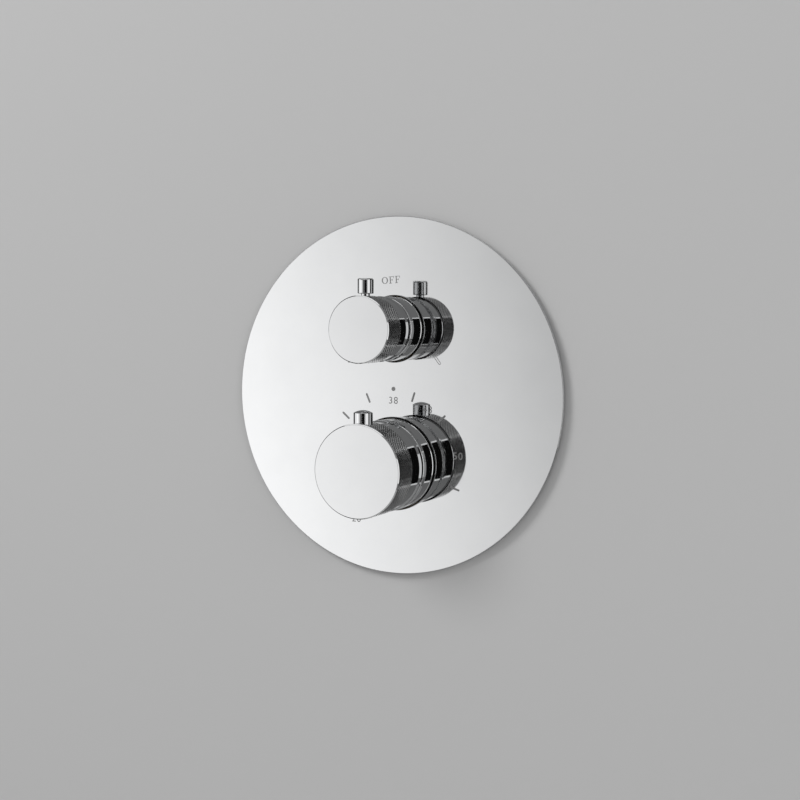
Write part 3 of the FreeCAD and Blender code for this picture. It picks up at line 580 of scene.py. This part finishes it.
def knurlMesh(look):
    # diamond knurl: V grooves along turn + rise and turn - rise at whole numbers, one sample wide on each
    # side, leave flat diamonds; every cell has a middle point, so that both diagonals are edges
    count, pitch, depth = look["knurlCount"], look["knurlPitch"], look["knurlDepth"]
    samples = knurl["samples"]
    front = look["face"] - knurl["frontGap"]
    back = look["face"] - look["headLength"] + knurl["backLap"]
    rowCount = int(round((front - back) / pitch * samples))

    def surface(turn, rise):
        nearest = np.minimum(np.abs(turn + rise - np.round(turn + rise)),
                             np.abs(turn - rise - np.round(turn - rise)))
        along = back + (front - back) * rise * samples / rowCount
        fade = np.clip(np.minimum(along - back, front - along) / knurl["fade"], 0, 1)
        cut = depth * np.clip(1 - nearest * samples, 0, 1) * fade
        radius = look["head"] - cut - knurl["edgeDrop"] * (1 - fade)
        angle = turn * 2 * math.pi / count
        return np.stack([radius * np.cos(angle), 0 * angle - along,
                         radius * np.sin(angle) + look["rise"]], -1)

    turn = np.arange(count * samples)[None, :] / samples
    rise = np.arange(rowCount + 1)[:, None] / samples
    corners = surface(turn, rise)
    middles = surface(turn + 0.5 / samples, rise[:-1] + 0.5 / samples)
    inner = look["head"] - depth - knurl["wall"]
    shrink = np.array([inner / look["head"], 1, inner / look["head"]])
    axisPlace = np.array([0, 0, look["rise"]])
    lips = (corners[[0, -1]] - axisPlace) * shrink + axisPlace
    columns = count * samples
    index = np.arange((rowCount + 1) * columns).reshape(rowCount + 1, columns)
    middle = np.arange(rowCount * columns).reshape(rowCount, columns) + corners[..., 0].size
    lip = np.arange(2 * columns).reshape(2, columns) + corners[..., 0].size + middle.size
    sides = [index[:-1], np.roll(index[:-1], -1, 1), np.roll(index[1:], -1, 1), index[1:]]
    triangles = np.concatenate([np.stack([sides[k], sides[(k + 1) % 4], middle], -1).reshape(-1, 3)
                                for k in range(4)])
    loops = [(index[0], lip[0]), (lip[0], lip[1]), (lip[1], index[-1])]
    rims = np.concatenate([np.stack([a, np.roll(a, -1), np.roll(b, -1), b], -1) for a, b in loops])
    points = np.concatenate([corners.reshape(-1, 3), middles.reshape(-1, 3), lips.reshape(-1, 3)])
    mesh = bpy.data.meshes.new(look["piece"] + "Knurl")
    mesh.from_pydata((points * mm).tolist(), [], triangles.tolist() + rims.tolist())
    outwards(mesh)
    return bored(mesh, look)


# the first colour is painted shade, near black at the knurl's groove floors; the second is the lands' chrome,
# lighter than the plain chrome; then polish and smudge
knurlShadeAndPolish = dict(groove=0.010, unshadedLand=0.90, polish=0.11, smudge=0.08, smudgeScale=240.0)


def knurlChromePaintedGrooveShade(name, look):
    # chrome with painted shade in the knurl's grooves: the colour darkens with depth below the lands, share =
    # (reach - (head - depth)) / depth
    finish = Finish(name, Metallic=1.0)
    x, y, z = finish.axes()
    rise = z - look["rise"] * mm
    square = x * x + rise * rise
    reach = square.math("POWER", square, 0.5)
    share = (reach - (look["head"] - look["knurlDepth"]) * mm) / (look["knurlDepth"] * mm)
    # the mask: 0 in the grooves' lower half, where the shade is painted, rising to 1 near the lands
    unshadedLand = finish.steps(share, (0.50, 0.0), (0.92, 1.0))
    smear = finish.noise(knurlShadeAndPolish["smudgeScale"], roughness=0.6)
    return finish.wire(
        Base_Color=finish.tint(unshadedLand, grey(knurlShadeAndPolish["groove"]), grey(knurlShadeAndPolish["unshadedLand"])),
        Roughness=knurlShadeAndPolish["polish"] + smear * knurlShadeAndPolish["smudge"],
    )


for look in (upperKnob, lowerKnob):
    addPiece(look["piece"], knobMesh(look), look["body"], chrome, stands=[look["node"]])
    knurlName = look["piece"] + "Knurl"
    addPiece(knurlName, knurlMesh(look), look["body"], knurlChromePaintedGrooveShade(knurlName, look))
print("knobs made")


# lever pin and override button

leverPin = dict(out=38.7, rise=axisRise["upper"], radius=4.35, foot=19.1, top=27.2,
                studRadius=2.4, studEnd=12.9)
override = dict(out=41.2, rise=axisRise["lower"], radius=5.25, foot=20.0, top=32.5, dome=1.45,
                domeReach=0.93, domeSteps=12, stemRadius=1.5, stemEnd=11.4)


def leverPinMesh(look):
    # half outline from the stud's end to the top, turned through a circle round the pin's upright axis
    corners = [
        (0, look["studEnd"], 0), (look["studRadius"], look["studEnd"], 0.3),
        (look["studRadius"], look["foot"], 0.15), (look["radius"], look["foot"], 0.45),
        (look["radius"], look["top"], 0.9), (0, look["top"], 0),
    ]
    return turnedMesh("leverPin", roundedProfile(corners, 6), "up", look["rise"], look["out"], 120)


def buttonMesh(look):
    # half outline turned as the pin's is; its top is a spherical cap of the dome's height over the radius
    radius, dome = look["radius"], look["dome"]
    sphere = (radius ** 2 + dome ** 2) / (2 * dome)
    reach = np.linspace(look["domeReach"] * radius, 0, look["domeSteps"])
    cap = look["top"] - sphere + np.sqrt(sphere ** 2 - reach ** 2)
    corners = [
        (0, look["stemEnd"], 0), (look["stemRadius"], look["stemEnd"], 0.2),
        (look["stemRadius"], look["foot"], 0.1), (radius, look["foot"], 0.3),
        (radius, look["top"] - dome, 0.35), (reach[0], cap[0], 0),
    ]
    profile = np.concatenate([roundedProfile(corners, 6), np.stack([reach[1:], cap[1:]], axis=-1)])
    return turnedMesh("overrideButton", profile, "up", look["rise"], look["out"], 120)


addPiece("leverPin", leverPinMesh(leverPin), "diverter", chrome, stands=["diverter_lever_pin"])
addPiece("overrideButton", buttonMesh(override), "override_button", chrome, stands=["override_button"])
print("lever pin and button made")


# marks on the plate

marks = dict(proud=0.03, sunk=0.25, front=plate["front"], pinch=1e-4)
lowerDial = dict(rise=axisRise["lower"], dotRadius=1.2, dotReach=42.0, dotSteps=24,
                 tickInner=36.8, tickOuter=42.6, tickWidth=1.15,
                 ticks=(-108, -78, -49, -23.5, 18, 48.5, 107.5), digitHeight=3.9,
                 numbers={"38": (0, 35.6), "43": (34, 37.5), "50": (81, 40.0), "20": (-144.6, 40.0)})
upperDial = dict(rise=axisRise["upper"], offReach=27.2, offHeight=3.9, offWidth=11.3, offTurn=-4.0,
                 hollow=(122, -122), hollowReach=31.2, hollowLength=7.0, hollowLean=20.0,
                 hollowWidth=1.5, hollowLine=0.32)
numberFace = dict(spacing=1.15, curveSteps=6, thickness=0.7, sharpAngle=30)


def spotOnDial(angle, reach, rise):
    # place at a clock angle in degrees from the top, seen from the front
    turn = math.radians(angle)
    return np.array([reach * math.sin(turn), rise + reach * math.cos(turn)])


def capsule(half, radius, steps=10):
    # outline of a bar with round ends, its length along the second axis
    bend = np.linspace(0, math.pi, steps + 1)
    top = np.stack([radius * np.cos(bend), half - radius + radius * np.sin(bend)], axis=-1)
    return np.concatenate([top, -top])


def slab(name, outer, inner):
    # thin slab between two outlines on the plate: front face, rims and back
    front, back = -(marks["front"] + marks["proud"]), -(marks["front"] - marks["sunk"])
    loops = [(outer, back), (outer, front), (inner, front), (inner, back)]
    points = np.stack([np.stack([loop[:, 0], np.full(len(loop), y), loop[:, 1]], axis=-1)
                       for loop, y in loops])
    mesh = gridMesh(name, points, closedAlong=True)
    mesh.polygons.foreach_set("use_smooth", np.zeros(len(mesh.polygons), dtype=bool))
    return mesh


def turnedLoop(loop, angle, centre):
    # the outline turned clockwise by the angle in degrees, then moved to the centre
    turn = math.radians(-angle)
    spin = np.array([[math.cos(turn), -math.sin(turn)], [math.sin(turn), math.cos(turn)]])
    return loop @ spin.T + centre


def solidSlab(name, loop, centre):
    # the inner outline shrinks nearly to the centre, where welding closes it
    return slab(name, loop, loop * marks["pinch"] + centre * (1 - marks["pinch"]))


def tickMark(name, angle, look):
    # a bar with round ends along the dial's spoke
    centre = spotOnDial(angle, (look["tickInner"] + look["tickOuter"]) / 2, look["rise"])
    half = (look["tickOuter"] - look["tickInner"]) / 2
    loop = turnedLoop(capsule(half, look["tickWidth"] / 2), angle, centre)
    return solidSlab(name, loop, centre)


def hollowMark(name, angle, look):
    # a long outlined loop that leans away from the dial's spoke
    centre = spotOnDial(angle, look["hollowReach"], look["rise"])
    half, width, line = look["hollowLength"] / 2, look["hollowWidth"], look["hollowLine"]
    lean = angle + math.copysign(look["hollowLean"], angle)
    outer = turnedLoop(capsule(half, width / 2), lean, centre)
    inner = turnedLoop(capsule(half - line, width / 2 - line), lean, centre)
    return slab(name, outer, inner)


def numberMark(name, words, centre, height):
    # words set with the built-in face, made a mesh, scaled to the height and stood on the plate
    curve = bpy.data.curves.new(name, "FONT")
    curve.body = words
    curve.size = 1.0
    curve.space_character = numberFace["spacing"]
    curve.extrude = (marks["proud"] + marks["sunk"]) / 2 / height * numberFace["thickness"]
    curve.resolution_u = numberFace["curveSteps"]
    curve.align_x = "CENTER"
    text = bpy.data.objects.new(name, curve)
    bpy.context.scene.collection.objects.link(text)
    mesh = bpy.data.meshes.new_from_object(text.evaluated_get(bpy.context.evaluated_depsgraph_get()))
    bpy.data.objects.remove(text)
    corners = np.empty(len(mesh.vertices) * 3)
    mesh.vertices.foreach_get("co", corners)
    corners = corners.reshape(-1, 3)
    low, high = corners.min(axis=0), corners.max(axis=0)
    scale = height / (high[1] - low[1])
    flat = (corners - (low + high) / 2) * [scale, scale, 1]
    depth = (marks["proud"] + marks["sunk"]) / 2
    out = flat[:, 2] / max(high[2] - low[2], 1e-9) * 2 * depth + marks["front"] + marks["proud"] - depth
    stood = np.stack([flat[:, 0] + centre[0], -out, flat[:, 1] + centre[1]], axis=-1) * mm
    mesh.vertices.foreach_set("co", stood.ravel())
    outwards(mesh)
    mesh.set_sharp_from_angle(angle=math.radians(numberFace["sharpAngle"]))
    return mesh


for place, angle in enumerate(lowerDial["ticks"]):
    name = f"temperatureTick{place + 1}"
    addPiece(name, tickMark(name, angle, lowerDial), "root", markGrey)
dotCentre = spotOnDial(0, lowerDial["dotReach"], lowerDial["rise"])
dotLoop = capsule(lowerDial["dotRadius"], lowerDial["dotRadius"], lowerDial["dotSteps"]) + dotCentre
addPiece("setPointDot", solidSlab("setPointDot", dotLoop, dotCentre), "root", markGrey)
for words, (angle, reach) in lowerDial["numbers"].items():
    centre = spotOnDial(angle, reach, lowerDial["rise"])
    name = "number" + words
    addPiece(name, numberMark(name, words, centre, lowerDial["digitHeight"]), "root", markGrey)
for place, angle in enumerate(upperDial["hollow"]):
    name = f"outletTick{place + 1}"
    addPiece(name, hollowMark(name, angle, upperDial), "root", markGrey)


# the F in shares of its own width and height
bookF = dict(hair=0.075, stem=(0.16, 0.36), foot=0.55, beakLeft=0.90, beakLow=0.72, arm=0.47,
             serif=(0.64, 0.72), serifRise=(0.36, 0.64))
# the word in shares of its width, and the O's stroke at its sides and its top in millimetres
offWordLook = dict(oWidth=0.34, fWidth=0.27, fStarts=(0.40, 0.73), sideStroke=0.72, topStroke=0.30,
                   oSteps=48)


def letterF(left, bottom, width, height):
    # a book-face F from bars that only touch: (left, bottom, right, top)
    hair = bookF["hair"] * height
    stemLeft, stemRight = (left + share * width for share in bookF["stem"])
    serifLeft, serifRight = (left + share * width for share in bookF["serif"])
    serifLow, serifHigh = (bottom + share * height for share in bookF["serifRise"])
    low, middle, high = bottom + hair, bottom + bookF["arm"] * height, bottom + height - hair
    return [
        (stemLeft, low, stemRight, high),
        (left, bottom, left + bookF["foot"] * width, low),
        (left, high, left + width, bottom + height),
        (left + bookF["beakLeft"] * width, bottom + bookF["beakLow"] * height, left + width, high),
        (stemRight, middle, serifLeft, middle + hair),
        (serifLeft, serifLow, serifRight, serifHigh),
    ]


def offWord(look):
    # O as a stressed ring, two F of bars, all in one mesh
    width, height = look["offWidth"], look["offHeight"]
    place = spotOnDial(look["offTurn"], look["offReach"], look["rise"])
    left, bottom = -width / 2, -height / 2
    turn = np.linspace(0, 2 * math.pi, offWordLook["oSteps"] + 1)[:-1]
    oWidth, fWidth = offWordLook["oWidth"] * width, offWordLook["fWidth"] * width
    oCentre = np.array([left + oWidth / 2, 0.0])
    outer = np.stack([oWidth / 2 * np.cos(turn), height / 2 * np.sin(turn)], axis=-1) + oCentre
    innerWidth, innerHeight = oWidth / 2 - offWordLook["sideStroke"], height / 2 - offWordLook["topStroke"]
    inner = np.stack([innerWidth * np.cos(turn), innerHeight * np.sin(turn)], axis=-1) + oCentre
    joined = bmesh.new()
    outer, inner = (turnedLoop(loop, look["offTurn"], place) for loop in (outer, inner))
    joined.from_mesh(slab("offRing", outer, inner))
    for start in offWordLook["fStarts"]:
        for x0, z0, x1, z1 in letterF(left + start * width, bottom, fWidth, height):
            loop = turnedLoop(np.array([(x0, z0), (x1, z0), (x1, z1), (x0, z1)]), look["offTurn"], place)
            joined.from_mesh(solidSlab("offBar", loop, loop.mean(axis=0)))
    mesh = bpy.data.meshes.new("offMark")
    joined.to_mesh(mesh)
    joined.free()
    return mesh


addPiece("offMark", offWord(upperDial), "root", markGrey)
print("marks made")


# studio

studio = dict(wallRings=(0.083, 0.12, 0.3, 0.95), wallBack=0.0003, wallGrey=0.60,
              flagRings=(0.104, 0.3, 0.95), flagOut=0.0008, flagGlow=0.045, ringColumns=96,
              floorDrop=-1.4, floorReach=3.0, floorGrey=0.72,
              screenRadius=1.5, screenColumns=25, screenRows=13)
# cards seen only in the chrome: azimuths, elevations, then the glow, its slopes across and up, its least
cards = {
    "brightCard": ((-48, 13), (-22.6, 10.5), (0.108, -1.53, -0.44, 0.10)),
    "blackCard": ((13.5, 45), (-21.5, 16.5), (0.006,)),
    "rightGreyCard": ((45.2, 56), (-21.5, 16.5), (0.5,)),
    "leftDarkCard": ((-125, -80), (-25, 25), (0.02,)),
    "leftGreyCard": ((-60, 12.5), (11.5, 17.5), (0.30,)),
    "upperGreyCard": ((-60, 75), (17.7, 60), (0.28,)),
    "lowerGreyCard": ((-60, 75), (-33, -22.7), (0.24,)),
}
# soft lights: place, size and power
lamps = {
    "keyLight": ((-0.9, -1.3, 1.1), 0.8, 14.0),
    "fillLight": ((1.3, -1.2, 0.4), 1.2, 5.0),
    "backLight": ((0.7, 1.4, 0.9), 0.9, 16.0),
}
airLook = dict(soft=0.82, softStrength=0.50, plain=0.86, glossLift=0.42)


def stageMaterial(name, shade):
    # matt paint, clouded by a fiftieth
    finish = Finish(name, Roughness=0.9)
    cloud = finish.noise(3.0, 2.0, 0.5)
    return finish.wire(Base_Color=finish.tint(cloud, grey(shade), grey(shade * 1.02)))


def addStage(name, points, material, closed=False):
    # a studio piece from a grid of points in metres
    mesh = gridMesh(name, points / mm, closedAcross=closed)
    item = bpy.data.objects.new(name, mesh)
    bpy.context.scene.collection.objects.link(item)
    item.data.materials.append(material)
    return item


def wallRing(name, rings, back, material):
    # flat ring of circles round the wall axis, each at its own reach, this far back
    columns = studio["ringColumns"]
    turn = np.arange(columns) * 2 * math.pi / columns
    reach = np.array(rings)[:, None]
    points = np.stack([reach * np.cos(turn), np.full((len(rings), columns), back), reach * np.sin(turn)],
                      axis=-1)
    return addStage(name, points, material, True)


def wallSheet():
    # the finished wall round its cut-out
    wallRing("wallSheet", studio["wallRings"], studio["wallBack"],
             stageMaterial("paleWall", studio["wallGrey"]))


def floorSheet():
    # a level square grid below the valve
    side = np.linspace(-studio["floorReach"], studio["floorReach"], 5)
    x, y = np.meshgrid(side, side)
    points = np.stack([x, y, np.full_like(x, studio["floorDrop"])], axis=-1)
    addStage("floorSheet", points, stageMaterial("paleFloor", studio["floorGrey"]))


def emitter(name, level, slopeX=0.0, slopeZ=0.0, least=0.0, most=1.55):
    # plain glow: level at the origin, changing by the slopes for each metre across and up, within limits
    material = bpy.data.materials.new(name)
    material.use_nodes = True
    tree = material.node_tree
    tree.nodes.clear()
    output, glow = tree.nodes.new("ShaderNodeOutputMaterial"), tree.nodes.new("ShaderNodeEmission")
    spot, split = tree.nodes.new("ShaderNodeTexCoord"), tree.nodes.new("ShaderNodeSeparateXYZ")
    tree.links.new(spot.outputs["Object"], split.inputs[0])
    x, z = Wire(tree, split.outputs[0]), Wire(tree, split.outputs[2])
    strength = level + x * slopeX + z * slopeZ
    strength = strength.math("MINIMUM", strength, most)
    strength = strength.math("MAXIMUM", strength, least)
    tree.links.new(strength.socket, glow.inputs["Strength"])
    tree.links.new(glow.outputs[0], output.inputs["Surface"])
    return material


def screen(name, azimuths, elevations, material):
    # patch of a sphere round the valve between two azimuths (0 in front, + to the right) and elevations
    turn = np.radians(np.linspace(*azimuths, studio["screenColumns"]))[None, :]
    lift = np.radians(np.linspace(*elevations, studio["screenRows"]))[:, None]
    radius = studio["screenRadius"]
    points = np.stack(np.broadcast_arrays(radius * np.sin(turn) * np.cos(lift),
                                          -radius * np.cos(turn) * np.cos(lift),
                                          radius * np.sin(lift) + 0 * turn), axis=-1)
    onlyInGloss(addStage(name, points, material))


def wallFlag():
    # dark ring just in front of the wall, seen only in reflections, to keep the chrome's edges dark
    onlyInGloss(wallRing("wallFlag", studio["flagRings"], -studio["flagOut"],
                         emitter("wallFlag", studio["flagGlow"])))


def onlyInGloss(card):
    # seen by reflected rays alone: not by the camera, and neither lighting nor shading anything
    card.visible_camera = False
    card.visible_diffuse = False
    card.visible_shadow = False
    card.visible_transmission = False


wallSheet()
floorSheet()
wallFlag()
for name, (azimuths, elevations, glow) in cards.items():
    screen(name, azimuths, elevations, emitter(name, *glow))


def areaLight(name, spot, size, power):
    # a round lamp aimed at the plate's middle and kept out of the reflections
    lamp = bpy.data.lights.new(name, "AREA")
    lamp.shape = "DISK"
    lamp.size = size
    lamp.energy = power
    item = bpy.data.objects.new(name, lamp)
    bpy.context.scene.collection.objects.link(item)
    item.location = spot
    item.rotation_euler = (Vector((0, 0, 0)) - Vector(spot)).to_track_quat("-Z", "Y").to_euler()
    item.visible_glossy = False


for name, (spot, size, power) in lamps.items():
    areaLight(name, spot, size, power)

world = bpy.data.worlds.new("studioAir")
bpy.context.scene.world = world
world.use_nodes = True
air = world.node_tree
air.nodes.clear()
airPath = air.nodes.new("ShaderNodeLightPath")
airMix, airOut = air.nodes.new("ShaderNodeMixShader"), air.nodes.new("ShaderNodeOutputWorld")
airSoft, airPlain = air.nodes.new("ShaderNodeBackground"), air.nodes.new("ShaderNodeBackground")
airSoft.inputs["Color"].default_value = grey(airLook["soft"])
airSoft.inputs["Strength"].default_value = airLook["softStrength"]
airPlain.inputs["Color"].default_value = grey(airLook["plain"])
glossy = Wire(air, airPath.outputs["Is Glossy Ray"])
air.links.new((1.0 + glossy * airLook["glossLift"]).socket, airPlain.inputs["Strength"])
seen = glossy + Wire(air, airPath.outputs["Is Camera Ray"])
seen = seen + Wire(air, airPath.outputs["Is Transmission Ray"])
air.links.new(seen.math("MINIMUM", seen, 1.0).socket, airMix.inputs[0])
air.links.new(airSoft.outputs[0], airMix.inputs[1])
air.links.new(airPlain.outputs[0], airMix.inputs[2])
air.links.new(airMix.outputs[0], airOut.inputs["Surface"])

view = dict(lens=61.1, sensor=36.0, clip=0.01, azimuth=25.98, elevation=3.78, roll=0.26,
            distance=0.7572, target=(0.0041, -0.0045, -0.0021))


def setCamera(look):
    # looks back at the target from its distance, then rolls about the line of sight
    lens = bpy.data.cameras.new("studioCamera")
    lens.sensor_width = look["sensor"]
    lens.lens = look["lens"]
    lens.clip_start = look["clip"]
    eye = bpy.data.objects.new("studioCamera", lens)
    bpy.context.scene.collection.objects.link(eye)
    turn, lift, roll = (math.radians(look[key]) for key in ("azimuth", "elevation", "roll"))
    back = Vector((math.sin(turn) * math.cos(lift), -math.cos(turn) * math.cos(lift), math.sin(lift)))
    right = Vector((math.cos(turn), math.sin(turn), 0))
    up = back.cross(right)
    across = right * math.cos(roll) + up * math.sin(roll)
    upright = up * math.cos(roll) - right * math.sin(roll)
    pose = Matrix((across, upright, back)).transposed().to_4x4()
    pose.translation = Vector(look["target"]) + back * look["distance"]
    eye.matrix_world = pose
    bpy.context.scene.camera = eye


setCamera(view)
bpy.context.scene.view_settings.view_transform = "Standard"
print("studio set")
